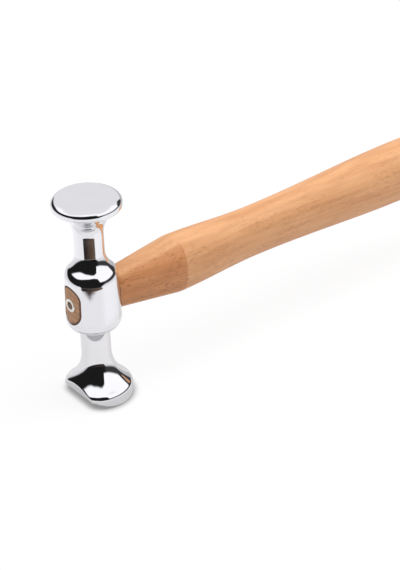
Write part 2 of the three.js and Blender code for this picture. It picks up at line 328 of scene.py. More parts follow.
def flare_reach(angle, level):
    """Radius of the flared lower body at a level, its rounded rim edge included."""
    reach = lower_face_reach(angle)
    above = LOWER_RIM_ROUND_ABOVE
    below = LOWER_RIM_ROUND_BELOW

    def plain(share):
        spread = (1 - share) ** LOWER_FLARE_POWER
        return LOWER_NECK_RADIUS + (reach - LOWER_NECK_RADIUS) * spread

    rise = level - LOWER_RIM_HEIGHT
    if rise <= -below:
        return reach
    if rise >= above:
        return plain(min(1.0, rise / LOWER_FLARE_HEIGHT))
    # The edge's bend rises as above * t * t - below * (1 - t) * (1 - t)
    bend = quadratic_root(above - below, 2 * below, -below - rise)
    return reach + (plain(above / LOWER_FLARE_HEIGHT) - reach) * bend * bend


def crown_level(across):
    """Level of the crowned sole at a distance along X from the head's axis."""
    drop = math.sqrt(CROWN_RADIUS**2 - (across - CROWN_LINE) ** 2)
    return CROWN_LIFT + CROWN_RADIUS - drop


def wall_reach(angle):
    """Radius of the lower face's outline with the toe cut off flat."""
    reach = lower_face_reach(angle)
    towards_toe = -math.cos(angle)
    if towards_toe <= LEAST_TOE_COSINE:
        return reach
    return soft_lesser(reach, TOE_CUT / towards_toe, TOE_CORNER_SOFTNESS)


def corner_level(angle, wall):
    """Level at which the flare comes in as far as the wall."""
    low = LOWER_RIM_HEIGHT - LOWER_RIM_ROUND_BELOW
    high = LOWER_FLARE_TOP
    if wall >= flare_reach(angle, low):
        return low
    for _ in range(HALVINGS):
        middle = (low + high) / 2
        if flare_reach(angle, middle) > wall:
            low = middle
        else:
            high = middle
    return low


def lower_column(angle):
    """Radius and level of one column's points, from near the face's middle to the neck."""
    wall = wall_reach(angle)
    inner = wall - CROWN_EDGE
    points = []
    for share in shares(CROWN_ROWS):
        radius = inner * share
        points.append((radius, crown_level(radius * math.cos(angle))))
    for share in shares(CROWN_EDGE_ROWS):
        turn = QUARTER_TURN * share
        radius = inner + CROWN_EDGE * math.sin(turn)
        level = crown_level(radius * math.cos(angle)) + CROWN_EDGE * (1 - math.cos(turn))
        points.append((radius, level))
    start = points[-1][1]
    corner = corner_level(angle, wall)
    for share in shares(WALL_ROWS):
        points.append((wall, start + (corner - HILL_EDGE - start) * share))
    above = (flare_reach(angle, corner + HILL_EDGE), corner + HILL_EDGE)
    wall_end = points[-1]
    for share in shares(HILL_ROWS):
        points.append(bezier(wall_end, (wall, corner), above, share))
    for share in shares(FLARE_ROWS):
        level = above[1] + (LOWER_FLARE_TOP - above[1]) * share**FLARE_ROW_POWER
        points.append((flare_reach(angle, level), level))
    return points


def lower_angles():
    """Directions of the columns at the lower face, close together at the toe's corners."""
    side = LOWER_FACE_RADIUS * (1 - (TOE_CUT / TOE_REACH) ** TOE_OUTLINE_POWER) ** (
        1 / TOE_OUTLINE_POWER
    )
    corner = math.atan2(side, -TOE_CUT)
    spread = CORNER_SPREAD
    half = []
    for count in range(HEEL_COLUMNS):
        half.append((corner - spread) * count / HEEL_COLUMNS)
    for count in range(CORNER_COLUMNS):
        half.append(corner - spread + 2 * spread * count / CORNER_COLUMNS)
    for count in range(TOE_COLUMNS // 2 + 1):
        start = corner + spread
        half.append(start + (math.pi - start) * count / (TOE_COLUMNS // 2))
    other = [FULL_TURN - angle for angle in reversed(half[1:-1])]
    return half + other


# Barrel, necks and round face


def foot_profile():
    """Radius and level from the lower neck to the barrel: a small fillet, then a round."""
    swing = 2 * math.atan2(FOOT_STEP, BARREL_FOOT_HEIGHT)
    fillet = FOOT_RADII * FOOT_FILLET_SHARE
    points = []
    for share in shares(FOOT_ROWS, 0):
        turn = swing * share
        radius = LOWER_NECK_RADIUS + fillet * (1 - math.cos(turn))
        points.append((radius, LOWER_NECK_TOP + fillet * math.sin(turn)))
    for share in shares(FOOT_ROWS):
        turn = swing * (1 - share)
        radius = BARREL_FOOT_RADIUS - FOOT_ROUNDING * (1 - math.cos(turn))
        points.append((radius, BARREL_BOTTOM - FOOT_ROUNDING * math.sin(turn)))
    return points


def shoulder_profile():
    """Radius and level from the barrel's top up to the neck: a round, a hollow, and a small
    quick bend into the neck."""
    bend_in = SHOULDER_START_RADIUS * (1 - math.cos(SHOULDER_START_TURN))
    hollow_in = SHOULDER_HOLLOW_RADIUS * (math.cos(SHOULDER_START_TURN) - math.cos(SHOULDER_TURN))
    step = BARREL_TOP_RADIUS - UPPER_NECK_RADIUS
    rounding = (step - bend_in - hollow_in) / (1 - math.cos(SHOULDER_TURN))
    level = BARREL_TOP - SHOULDER_DROP
    points = []
    for share in shares(SHOULDER_ROWS, 0):
        turn = SHOULDER_TURN * share
        radius = BARREL_TOP_RADIUS - rounding * (1 - math.cos(turn))
        points.append((radius, level + rounding * math.sin(turn)))

    def hollow(size, start, end, rows):
        centre_radius = points[-1][0] + size * math.cos(start)
        centre_level = points[-1][1] + size * math.sin(start)
        for share in shares(rows):
            turn = start + (end - start) * share
            radius = centre_radius - size * math.cos(turn)
            points.append((radius, centre_level - size * math.sin(turn)))

    hollow(SHOULDER_HOLLOW_RADIUS, SHOULDER_TURN, SHOULDER_START_TURN, SHOULDER_ROWS)
    hollow(SHOULDER_START_RADIUS, SHOULDER_START_TURN, 0, SHOULDER_START_ROWS)
    return points


def barrel_radius(level):
    """Radius of the barrel at a level, the top of its foot included."""
    if level < BARREL_BOTTOM:
        drop = BARREL_BOTTOM - level
        return BARREL_FOOT_RADIUS - FOOT_ROUNDING + math.sqrt(FOOT_ROUNDING**2 - drop**2)
    share = (level - BARREL_BOTTOM) / (BARREL_TOP - BARREL_BOTTOM)
    return BARREL_FOOT_RADIUS + (BARREL_TOP_RADIUS - BARREL_FOOT_RADIUS) * share


def eye_patch_levels():
    low = EYE_BOTTOM - EYE_WALL_BELOW - EYE_PATCH_BELOW
    high = EYE_BOTTOM + EYE_HEIGHT + EYE_PATCH_ABOVE
    return [low + (high - low) * share for share in shares(EYE_PATCH_ROWS, 0)]


def round_edge(turn):
    """Radius and level on the round face's edge: a tight bend at its side, an easy one above."""
    side = min(turn, ROUND_EDGE_CHANGE)
    inwards = ROUND_EDGE_SIDE_RADIUS * (1 - math.cos(side))
    inwards += ROUND_EDGE_TOP_RADIUS * (math.cos(side) - math.cos(turn))
    full = ROUND_EDGE_SIDE_RADIUS * math.sin(ROUND_EDGE_CHANGE)
    full += ROUND_EDGE_TOP_RADIUS * (1 - math.sin(ROUND_EDGE_CHANGE))
    upwards = ROUND_EDGE_SIDE_RADIUS * math.sin(side)
    upwards += ROUND_EDGE_TOP_RADIUS * (math.sin(turn) - math.sin(side))
    return ROUND_FACE_RADIUS - inwards, HEAD_HEIGHT - full + upwards


def upper_profile():
    """Radius and level from the lower neck's top to the edge of the round face, and the
    numbers of the first and last rows of the eye's patch."""
    levels = eye_patch_levels()
    foot_end = levels[0] - EYE_PATCH_CLEARANCE
    points = [point for point in foot_profile() if point[1] < foot_end]
    first = len(points)
    points += [(barrel_radius(level), level) for level in levels]
    last = len(points) - 1
    points += shoulder_profile()
    start = points[-1][1]
    for share in shares(UPPER_NECK_ROWS)[:-1]:
        level = start + (UPPER_NECK_TOP - start) * share
        points.append((UPPER_NECK_RADIUS, level))
    top_radius = ROUND_FACE_RADIUS - ROUND_RIM_LOWER_EDGE
    for share in shares(ROUND_FLARE_ROWS, 0):
        radius = UPPER_NECK_RADIUS + (top_radius - UPPER_NECK_RADIUS) * share**ROUND_FLARE_POWER
        points.append((radius, UPPER_NECK_TOP + ROUND_FLARE_HEIGHT * share))
    slope = (top_radius - UPPER_NECK_RADIUS) * ROUND_FLARE_POWER / ROUND_FLARE_HEIGHT
    corner = (ROUND_FACE_RADIUS, ROUND_FLARE_TOP + ROUND_RIM_LOWER_EDGE / slope)
    wall = (ROUND_FACE_RADIUS, corner[1] + RIM_CORNER)
    for share in shares(RIM_CORNER_ROWS):
        points.append(bezier((top_radius, ROUND_FLARE_TOP), corner, wall, share))
    for share in shares(ROUND_EDGE_ROWS, 0):
        points.append(round_edge(QUARTER_TURN * share))
    return points, first, last


def eye_point(across, above, grow):
    """The point of the eye's outline, grown by some, in a direction from its centre."""
    radius = EYE_WIDTH / 2 + grow
    straight = (EYE_HEIGHT - EYE_WIDTH) / 2
    if across and abs(above) * radius <= straight * abs(across):
        return math.copysign(radius, across), above * radius / abs(across)
    # Where the direction meets the half circle about the end of the straight cheeks
    centre = math.copysign(straight, above)
    reach = quadratic_root(across**2 + above**2, -2 * above * centre, centre**2 - radius**2)
    return across * reach, above * reach


def eye_border():
    """Column offsets and rows of the points round the edge of the eye's patch."""
    across = range(-EYE_COLUMNS, EYE_COLUMNS)
    upwards = range(EYE_PATCH_ROWS)
    border = [(offset, 0) for offset in across]
    border += [(EYE_COLUMNS, row) for row in upwards]
    border += [(-offset, EYE_PATCH_ROWS) for offset in across]
    border += [(-EYE_COLUMNS, EYE_PATCH_ROWS - row) for row in upwards]
    return border


def border_places():
    """Turn round the head's axis and level of each point round the edge of the eye's patch."""
    levels = eye_patch_levels()
    return [(FULL_TURN * offset / COLUMNS, levels[row]) for offset, row in eye_border()]


def eye_place(turn, level, grow):
    """Distance across and level on the grown eye's outline, towards a place on the barrel."""
    side = barrel_radius(level) * math.sin(turn)
    across, above = eye_point(side, level - EYE_CENTRE, grow)
    return across, EYE_CENTRE + above


def patch_ring(way, share):
    """Points on the barrel part of the way from the patch's edge to the eye's lip."""
    ring = []
    for turn, level in border_places():
        across, inner_level = eye_place(turn, level, EYE_LIP)
        inner_turn = math.asin(across / barrel_radius(inner_level))
        at_turn = turn + (inner_turn - turn) * share
        at_level = level + (inner_level - level) * share
        radius = barrel_radius(at_level)
        x = way * radius * math.cos(at_turn)
        ring.append(standing(x, radius * math.sin(at_turn), at_level))
    return ring


def lip_ring(way, turn):
    """Points on the rounded lip of the eye, from the barrel to the eye's wall."""
    grow = EYE_LIP * (1 - math.sin(turn))
    ring = []
    for place in border_places():
        across, level = eye_place(*place, grow)
        reach = math.sqrt(barrel_radius(level) ** 2 - across**2)
        x = way * (reach - EYE_LIP * (1 - math.cos(turn)))
        ring.append(standing(x, across, level))
    return ring


def build_head():
    skin = Skin()
    low_angles = lower_angles()
    even_angles = [FULL_TURN * count / COLUMNS for count in range(COLUMNS)]
    columns = [lower_column(angle) for angle in low_angles]
    rings = []
    for row in zip(*columns):
        ring = [round_point(size, angle, level) for angle, (size, level) in zip(low_angles, row)]
        rings.append(skin.ring(ring))
    for share in shares(LOWER_NECK_ROWS)[:-1]:
        level = LOWER_FLARE_TOP + LOWER_NECK_LENGTH * share
        angles = [low + (even - low) * share for low, even in zip(low_angles, even_angles)]
        rings.append(skin.ring([round_point(LOWER_NECK_RADIUS, a, level) for a in angles]))
    profile, first, last = upper_profile()
    first += len(rings)
    last += len(rings)
    flat_radius = profile[-1][0]
    for share in shares(FACE_ROWS)[:-1]:
        profile.append((flat_radius * (1 - share), HEAD_HEIGHT))
    for radius, level in profile:
        rings.append(skin.ring([round_point(radius, angle, level) for angle in even_angles]))

    half = COLUMNS // 2
    open_columns = set()
    for offset in range(-EYE_COLUMNS, EYE_COLUMNS):
        open_columns.add(offset % COLUMNS)
        open_columns.add((half + offset) % COLUMNS)
    for row in range(len(rings) - 1):
        for here in range(COLUMNS):
            if first <= row < last and here in open_columns:
                continue
            beside = (here + 1) % COLUMNS
            low, high = rings[row], rings[row + 1]
            skin.faces.append((low[here], low[beside], high[beside], high[here]))
    skin.fan(rings[0], standing(0, 0, crown_level(0)))
    skin.fan(rings[-1], standing(0, 0, HEAD_HEIGHT))

    # The patch and lip round each mouth of the eye, and the eye's wall between the two mouths
    mouths = []
    for way in (1, -1):
        outer = []
        for offset, row in eye_border():
            column = offset % COLUMNS if way == 1 else (half - offset) % COLUMNS
            outer.append(rings[first + row][column])
        loops = [outer]
        loops += [skin.ring(patch_ring(way, share)) for share in shares(PATCH_ROWS)]
        loops += [skin.ring(lip_ring(way, QUARTER_TURN * share)) for share in shares(LIP_ROWS)]
        skin.strips(loops)
        mouths.append(loops[-1])
    wall = [mouths[0]]
    for share in shares(EYE_WALL_ROWS)[:-1]:
        ring = []
        for front, back in zip(*mouths):
            start, end = Vector(skin.points[front]), Vector(skin.points[back])
            ring.append(tuple(start.lerp(end, share)))
        wall.append(skin.ring(ring))
    wall.append(mouths[1])
    skin.strips(wall)
    return skin.piece("head")


# Handle: its sections are points across and above its axis


def ease(start, end, share):
    return start + (end - start) * (1 - math.cos(math.pi * share)) / 2


def handle_size(distance, neck, *sizes):
    """Height or width at a distance from the head's axis, from those at the neck and at the
    shoulder, waist, grip and butt."""
    share = (distance - BARREL_RADIUS) / (SHOULDER_DISTANCE - BARREL_RADIUS)
    taper = neck + (sizes[0] - neck) * share
    swell = sizes[0]
    places = (SHOULDER_DISTANCE, WAIST_DISTANCE, GRIP_DISTANCE, BUTT_DISTANCE)
    for start, end, size, next_size in zip(places, places[1:], sizes, sizes[1:]):
        if distance > start:
            swell = ease(size, next_size, (distance - start) / (end - start))
    return soft_lesser(taper, swell, SHOULDER_SOFTNESS)


def handle_section(distance, share=1):
    """One oval section of the handle, or a share of its size."""
    heights = (NECK_HEIGHT, SHOULDER_HEIGHT, WAIST_HEIGHT, GRIP_HEIGHT, BUTT_HEIGHT)
    widths = (NECK_WIDTH, SHOULDER_WIDTH, WAIST_WIDTH, GRIP_WIDTH, BUTT_WIDTH)
    height = handle_size(distance, *heights)
    width = handle_size(distance, *widths)
    blend = min(1.0, max(0.0, distance / WAIST_DISTANCE))
    power = NECK_POWER + (GRIP_POWER - NECK_POWER) * blend
    section = []
    for side in range(HANDLE_SIDES):
        angle = FULL_TURN * side / HANDLE_SIDES
        cosine = math.cos(angle)
        sine = math.sin(angle)
        across = math.copysign(abs(cosine) ** (2 / power), cosine)
        upwards = math.copysign(abs(sine) ** (2 / power), sine)
        section.append((width / 2 * share * across, height / 2 * share * upwards))
    return section


def between(section, other, share):
    """A section part of the way from one section to another."""
    return [
        (across + (to_across - across) * share, above + (to_above - above) * share)
        for (across, above), (to_across, to_above) in zip(section, other)
    ]


def drawn_in(section, distance):
    """A section with each point moved towards the middle by a distance."""
    smaller = []
    for across, above in section:
        scale = 1 - distance / math.hypot(across, above)
        smaller.append((across * scale, above * scale))
    return smaller


def flat_ring(x, section):
    """Points of a section square to the handle."""
    return [standing(x, across, EYE_CENTRE + above) for across, above in section]


def coped_ring(section, gap, way):
    """Points of a section that follows the barrel's round, a gap off it: way is 1 on the
    handle's side, -1 on the toe's, and a share of the way out between them."""
    ring = []
    for across, above in section:
        level = EYE_CENTRE + above
        radius = barrel_radius(max(level, BARREL_BOTTOM - EYE_PATCH_BELOW)) + gap
        ring.append(standing(way * math.sqrt(radius**2 - across**2), across, level))
    return ring


def build_handle():
    skin = Skin()
    rings = []

    def add(points):
        rings.append(skin.ring(points))

    round_start = BUTT_DISTANCE - BUTT_ROUND
    for row in range(BUTT_ROWS, -1, -1):
        turn = QUARTER_TURN * row / BUTT_ROWS
        share = BUTT_FLAT_SHARE + (1 - BUTT_FLAT_SHARE) * math.cos(turn)
        x = round_start + BUTT_ROUND * math.sin(turn)
        add(flat_ring(x, handle_section(x, share)))
    skin.fan(rings[0], standing(BUTT_DISTANCE, 0, EYE_CENTRE))
    neck_end = BARREL_RADIUS + COPE_LENGTH
    stations = int((round_start - neck_end) / STATION_SPACING)
    for share in shares(stations):
        x = round_start + (neck_end - round_start) * share
        add(flat_ring(x, handle_section(x)))

    # The neck is coped to the barrel, then steps in to the tenon
    neck = handle_section(BARREL_RADIUS)
    tenon = [eye_point(across, above, -TENON_GAP) for across, above in neck]
    add(coped_ring(neck, COPE_GAP + NECK_EDGE, 1))
    add(coped_ring(between(neck, tenon, NECK_EDGE_SHARE), COPE_GAP, 1))
    add(coped_ring(tenon, COPE_GAP, 1))
    for share in TENON_ROW_SHARES:
        add(coped_ring(tenon, 0, share))
    for share in shares(TENON_EDGE_ROWS, 0):
        turn = QUARTER_TURN * share
        section = drawn_in(tenon, TENON_EDGE * (1 - math.cos(turn)))
        add(coped_ring(section, -END_GRAIN_RECESS - TENON_EDGE * (1 - math.sin(turn)), -1))

    # End grain in to the slot, the slot's walls, and the core of wood inside the ring
    slot_outer = WEDGE_RADIUS + SLOT_GAP
    slot_inner = WEDGE_BORE_RADIUS - SLOT_GAP
    ways = [math.atan2(above, across) for across, above in tenon]
    outer = [(slot_outer * math.cos(way), slot_outer * math.sin(way)) for way in ways]
    inner = [(slot_inner * math.cos(way), slot_inner * math.sin(way)) for way in ways]
    end_grain = drawn_in(tenon, TENON_EDGE)
    for share in shares(END_GRAIN_ROWS):
        add(coped_ring(between(end_grain, outer, share), -END_GRAIN_RECESS, -1))
    slot_face = -(BARREL_RADIUS - END_GRAIN_RECESS) - WEDGE_PROUD
    slot_floor = slot_face + WEDGE_LENGTH + SLOT_FLOOR_GAP
    add(flat_ring(slot_floor, outer))
    add(flat_ring(slot_floor, inner))
    for share, depth in CORE_SHARES:
        section = [(across * share, above * share) for across, above in inner]
        add(coped_ring(section, -END_GRAIN_RECESS - depth, -1))
    skin.strips(rings)
    x = -(barrel_radius(EYE_CENTRE) - END_GRAIN_RECESS - CORE_TOP)
    skin.fan(rings[-1], standing(x, 0, EYE_CENTRE))
    return skin.piece("beech_handle", SHARP_EDGE)


# Ring wedge


def wedge_profile():
    """Radius and distance along the wedge, once round its wall."""
    tip_start = WEDGE_LENGTH - WEDGE_TIP_LENGTH
    turns = [QUARTER_TURN * share for share in shares(WEDGE_EDGE_ROWS, 0)]

    def outer_at(along):
        return WEDGE_RADIUS - WEDGE_TAPER * along / WEDGE_LENGTH

    points = []
    for turn in turns:
        radius = WEDGE_RADIUS - WEDGE_EDGE * (1 - math.sin(turn))
        points.append((radius, WEDGE_EDGE * (1 - math.cos(turn))))
    for ridge in range(WEDGE_RIDGES):
        start = tip_start * (ridge + 1) / (WEDGE_RIDGES + 1)
        points.append((outer_at(start), start))
        points.append((outer_at(start) - WEDGE_RIDGE_DEPTH, start + WEDGE_RIDGE_DEPTH))
    points.append((outer_at(tip_start), tip_start))
    points.append((WEDGE_BORE_RADIUS + WEDGE_TIP_WALL, WEDGE_LENGTH))
    points.append((WEDGE_BORE_RADIUS, WEDGE_LENGTH))
    for turn in turns:
        radius = WEDGE_BORE_RADIUS + WEDGE_EDGE * (1 - math.cos(turn))
        points.append((radius, WEDGE_EDGE * (1 - math.sin(turn))))
    return points


def build_wedge():
    skin = Skin()
    rings = []
    face = -(BARREL_RADIUS - END_GRAIN_RECESS) - WEDGE_PROUD
    for radius, along in wedge_profile():
        ring = []
        for side in range(WEDGE_SIDES):
            turn = FULL_TURN * side / WEDGE_SIDES
            level = EYE_CENTRE + radius * math.sin(turn)
            ring.append(standing(face + along, radius * math.cos(turn), level))
        rings.append(skin.ring(ring))
    skin.strips(rings + rings[:1])
    return skin.piece("ring", SHARP_EDGE)


head = build_head()
handle = build_handle()
wedge = build_wedge()

for piece, node, slot in (
    (head, "hammer_head", "head_chrome"),
    (handle, "handle", "handle_beech"),
    (wedge, "ring_wedge", "wedge_steel"),
):
    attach(piece, "root")
    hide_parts(node)


# Materials

# A noise is a scale, a detail and a roughness; edges are where a fade starts and ends; a fade
# is a stretch, a noise and edges; a bump is a strength and a distance. The edges of the taper,
# core and rim are millimetres past the shoulder, the ring's bore and the eye's wall.

CHROME_TINTS = ((0.86, 0.86, 0.885, 1), (0.9, 0.9, 0.915, 1))
CHROME_CLOUD_SCALE = 90.0
CHROME_ROUGH_SCALE = 240.0
CHROME_ROUGH = 0.035
CHROME_ROUGH_SPREAD = 0.03
CHROME_RIPPLE_SCALE = 160.0
CHROME_BUMP = (0.02, 0.0005)

BEECH_PALE = (0.82, 0.43, 0.205, 1)
BEECH_DEEP = (0.7, 0.33, 0.14, 1)
BEECH_LATE = (0.6, 0.26, 0.1, 1)
BEECH_RAY = (0.38, 0.13, 0.04, 1)
BEECH_HEART = (0.0, 0.03, -0.02)
GRAIN_DRIFT = (0.0, 0.004, 0.004)
GRAIN_DRIFT_SCALE = 14.0
STREAK_FADE = ((1.0, 9.0, 9.0), (22.0, 3.0, 0.55), (0.28, 0.68))
FIBRE_STRETCH = (1.0, 16.0, 16.0)
FIBRE_NOISE = (130.0, 3.0, 0.6)
FIBRE_EDGES = (0.45, 0.75)
FIBRE_SHARE = 0.3
RING_STRETCH = (0.05, 1.0, 1.0)
RING_WAVE = (("Scale", 95.0), ("Distortion", 2.2), ("Detail", 1.5), ("Detail Scale", 0.6))
LATE_EDGES = (0.55, 1.0)
LATE_SHARE = 0.16
RAY_FADE = ((0.8, 5.0, 5.0), (360.0, 1.0, 0.5), (0.54, 0.66))
CROWD_FADE = ((1.0, 3.0, 3.0), (34.0, 2.0, 0.5), (0.3, 0.6))
RAY_SHARE = 0.1
RAY_SHARE_SIDEWISE = 0.25
RAY_SHARE_TAPER = 0.3
TAPER_EDGES = (2.4, 1.2)
# Painted shade on the sides of the taper: its colour, and the edges of how sideways a face turns
TAPER_SIDE_SHADE = (0.86, 0.72, 0.6, 1)
SIDE_SHADE_EDGES = (0.4, 0.85)

END_GRAIN_PALE = (0.8, 0.45, 0.25, 1)
END_GRAIN_DEEP = (0.6, 0.31, 0.17, 1)
END_GRAIN_LATE = (0.34, 0.2, 0.12, 1)
# Painted shade in the gap where the tenon meets the eye
END_GRAIN_GAP_SHADE = (0.06, 0.03, 0.02, 1)
END_GRAIN_CORE = (0.2, 0.115, 0.075, 1)
END_GRAIN_EDGES = (0.5, 0.8)
END_GRAIN_SHARE = 0.1
END_GRAIN_SHARE_TENON = 0.22
END_RAY_FADE = ((1.0, 1.0, 0.25), (900.0, 2.0, 0.6), (0.2, 0.75))
END_RAY_CONTRAST = 3.0
CORE_EDGES = (0.4, -0.6)
RIM_EDGES = (-1.7, -0.5)
# How much the tenon takes of its darker core and of the painted gap shade
TENON_DARKENING_SHARE = 0.85

BEECH_ROUGH = 0.36
BEECH_ROUGH_FIBRES = 0.22
BEECH_ROUGH_RAYS = -0.12
BEECH_ROUGH_END = 0.18
RAY_HEIGHT = -0.6
BEECH_BUMP = (0.22, 0.0002)

STEEL_TINTS = ((0.74, 0.7, 0.64, 1), (0.95, 0.92, 0.86, 1))
STEEL_CLOUD = (700.0, 3.0, 0.6)
SCRATCH_STRETCH = (1.0, 1.0, 9.0)
SCRATCH_SCALE = 1500.0
STEEL_ROUGH = 0.2
STEEL_ROUGH_SPREAD = 0.25
STEEL_BUMP = (0.15, 0.0001)


def turned(degrees):
    """A bearing in degrees as Nodes.bearing gives it, from 0 to 1."""
    return degrees / 360 + 0.5


def edges_past(place, edges):
    """Edges of a fade in metres, from millimetres past a place."""
    return [(place + edge) * MM for edge in edges]


class Nodes:
    """A node tree with short ways to add and join nodes."""

    def __init__(self, tree):
        self.tree = tree
        self.tree.nodes.clear()

    def add(self, kind, **settings):
        node = self.tree.nodes.new(kind)
        for name, value in settings.items():
            setattr(node, name, value)
        return node

    def join(self, source, target):
        self.tree.links.new(source, target)

    def put(self, value, socket):
        if isinstance(value, bpy.types.NodeSocket):
            self.join(value, socket)
        else:
            socket.default_value = value

    def math(self, operation, *values):
        node = self.add("ShaderNodeMath", operation=operation)
        for value, socket in zip(values, node.inputs):
            self.put(value, socket)
        return node.outputs[0]

    def times(self, first, second):
        return self.math("MULTIPLY", first, second)

    def times_add(self, first, second, third):
        return self.math("MULTIPLY_ADD", first, second, third)

    def length(self, first, second):
        """The length of a way from its two parts, the second already squared."""
        return self.math("SQRT", self.times_add(first, first, second))

    def soft(self, value, low, high):
        """0 below low and 1 above high, smooth between; the other way if low is higher."""
        node = self.add("ShaderNodeMapRange", interpolation_type="SMOOTHSTEP")
        flip = low > high
        self.put(value, node.inputs["Value"])
        node.inputs["From Min"].default_value = min(low, high)
        node.inputs["From Max"].default_value = max(low, high)
        node.inputs["To Min"].default_value = 1.0 if flip else 0.0
        node.inputs["To Max"].default_value = 0.0 if flip else 1.0
        return node.outputs["Result"]

    def mix(self, share, first, second, kind="MIX"):
        node = self.add("ShaderNodeMix", data_type="RGBA", blend_type=kind)
        self.put(share, node.inputs["Factor"])
        self.put(first, node.inputs["A"])
        self.put(second, node.inputs["B"])
        return node.outputs["Result"]

    def blend(self, share, first, second):
        """A shader part of the way from one shader to another."""
        node = self.add("ShaderNodeMixShader")
        self.join(share, node.inputs["Fac"])
        self.join(first, node.inputs[1])
        self.join(second, node.inputs[2])
        return node.outputs["Shader"]

    def glow(self, colour):
        node = self.add("ShaderNodeEmission")
        self.put(colour, node.inputs["Color"])
        return node.outputs["Emission"]

    def clear(self):
        return self.add("ShaderNodeBsdfTransparent").outputs["BSDF"]

    def end(self, shader, kind="ShaderNodeOutputMaterial"):
        self.join(shader, self.add(kind).inputs["Surface"])

    def rays(self):
        """Shares that are 1 on camera rays, and on rays that a surface mirrors or lets by."""
        path = self.add("ShaderNodeLightPath").outputs
        return path["Is Camera Ray"], self.math(
            "MAXIMUM", path["Is Glossy Ray"], path["Is Transmission Ray"]
        )

    def bump(self, height, strength, distance, shader):
        node = self.add("ShaderNodeBump")
        node.inputs["Strength"].default_value = strength
        node.inputs["Distance"].default_value = distance
        self.join(height, node.inputs["Height"])
        self.join(node.outputs["Normal"], shader.inputs["Normal"])

    def bend(self, bearing, places):
        """A value that follows the bearing in straight runs between places."""
        values = [value for _, value in places]
        lowest, span = min(values), max(values) - min(values)
        node = self.add("ShaderNodeFloatCurve")
        line = node.mapping.curves[0]
        ends = (places[0], places[-1])
        for point, (degrees, value) in zip((line.points[0], line.points[1]), ends):
            point.location = (turned(degrees), (value - lowest) / span)
        for degrees, value in places[1:-1]:
            line.points.new(turned(degrees), (value - lowest) / span)
        for point in line.points:
            point.handle_type = "VECTOR"
        node.mapping.update()
        self.put(bearing, node.inputs["Value"])
        return self.times_add(node.outputs["Value"], span, lowest)

    def grey(self, value):
        """A faintly cool grey of a brightness."""
        node = self.add("ShaderNodeCombineColor")
        self.put(value, node.inputs["Red"])
        self.put(value, node.inputs["Green"])
        self.put(self.times(value, COOLNESS), node.inputs["Blue"])
        return node.outputs["Color"]

    def stretch(self, vector, scale, shift=(0.0, 0.0, 0.0)):
        node = self.add("ShaderNodeMapping")
        self.put(vector, node.inputs["Vector"])
        node.inputs["Scale"].default_value = scale
        node.inputs["Location"].default_value = shift
        return node.outputs["Vector"]

    def parts(self, vector):
        """The X, Y and Z of a vector, by name."""
        node = self.add("ShaderNodeSeparateXYZ")
        self.join(vector, node.inputs["Vector"])
        return node.outputs

    def bearing(self, vector):
        """The bearing of a place or way round the head's axis: half a turn each side of the
        photograph's side, which is at 0.5, from 0 to 1."""
        turn = self.add("ShaderNodeVectorRotate", rotation_type="Z_AXIS")
        self.join(vector, turn.inputs["Vector"])
        turn.inputs["Angle"].default_value = math.radians(90 - CAMERA_AZIMUTH)
        parts = self.parts(turn.outputs["Vector"])
        side = self.math("ARCTAN2", parts["Y"], parts["X"])
        return self.times_add(side, 1 / FULL_TURN, 0.5)

    def noise(self, vector, scale, detail=2.0, rough=0.5):
        node = self.add("ShaderNodeTexNoise")
        self.put(vector, node.inputs["Vector"])
        node.inputs["Scale"].default_value = scale
        node.inputs["Detail"].default_value = detail
        node.inputs["Roughness"].default_value = rough
        return node.outputs["Fac"]

    def fade(self, vector, stretch, noise, edges):
        """A stretched noise, faded between edges."""
        return self.soft(self.noise(self.stretch(vector, stretch), *noise), *edges)

    def drift(self, vector, scale, reach):
        """A place moved to and fro by a slow noise, half the reach each way."""
        node = self.add("ShaderNodeTexNoise")
        self.put(vector, node.inputs["Vector"])
        node.inputs["Scale"].default_value = scale
        centred = self.add("ShaderNodeVectorMath", operation="SUBTRACT")
        self.join(node.outputs["Color"], centred.inputs[0])
        centred.inputs[1].default_value = (0.5, 0.5, 0.5)
        moved = self.add("ShaderNodeVectorMath", operation="MULTIPLY_ADD")
        self.join(centred.outputs["Vector"], moved.inputs[0])
        moved.inputs[1].default_value = reach
        self.join(vector, moved.inputs[2])
        return moved.outputs["Vector"]


def bare_material(name):
    material = bpy.data.materials.new(name)
    material.use_nodes = True
    return material, Nodes(material.node_tree)


def new_material(name):
    material, nodes = bare_material(name)
    shader = nodes.add("ShaderNodeBsdfPrincipled")
    nodes.end(shader.outputs["BSDF"])
    return material, nodes, shader


def make_chrome():
    """Polished plate, very slightly rippled."""
    material, nodes, shader = new_material("chrome_plate")
    place = nodes.add("ShaderNodeTexCoord").outputs["Object"]
    tint = nodes.mix(nodes.noise(place, CHROME_CLOUD_SCALE), *CHROME_TINTS)
    nodes.join(tint, shader.inputs["Base Color"])
    shader.inputs["Metallic"].default_value = 1.0
    rough = nodes.noise(place, CHROME_ROUGH_SCALE)
    rough = nodes.times_add(rough, CHROME_ROUGH_SPREAD, CHROME_ROUGH)
    nodes.join(rough, shader.inputs["Roughness"])
    nodes.bump(nodes.noise(place, CHROME_RIPPLE_SCALE), *CHROME_BUMP, shader)
    return material


